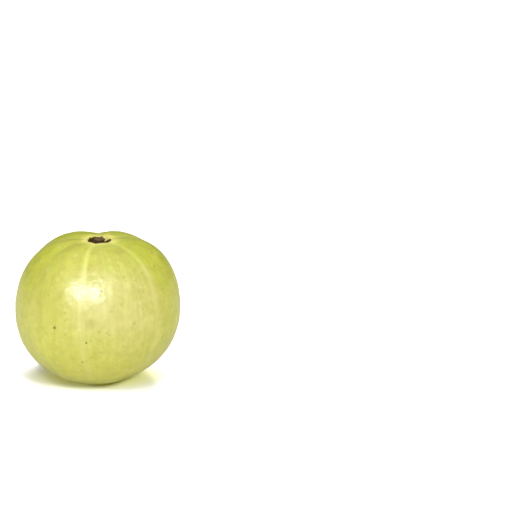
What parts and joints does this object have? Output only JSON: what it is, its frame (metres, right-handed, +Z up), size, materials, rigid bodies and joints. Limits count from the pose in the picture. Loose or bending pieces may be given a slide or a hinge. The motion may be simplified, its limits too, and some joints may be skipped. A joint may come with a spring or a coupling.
{
  "type": "indian gooseberry",
  "caption": "Whole indian gooseberry (amla): round, pale yellow-green, softly lobed between seams, with a woody stalk stump in its top, standing on its blossom end.",
  "frame": {"origin": "on the ground under the middle of the fruit's box, in the plane of the flat ring round the blossom end", "axes": "+Z up along the fruit's axis, from the blossom end to the stalk; -Y towards the side that shows best; +X to that side's right"},
  "size_m": [0.0414, 0.041, 0.0368],
  "materials": {
    "skin": "smooth waxy fruit skin, pale yellow-green with paler seams, fine streaks and a soft gloss",
    "dry_stalk": "dry, dull purplish brown stalk wood and withered sepals"
  },
  "bodies": {
    "root": {"fruit": "skin", "stem_stub": "dry_stalk"}
  },
  "joints": []
}
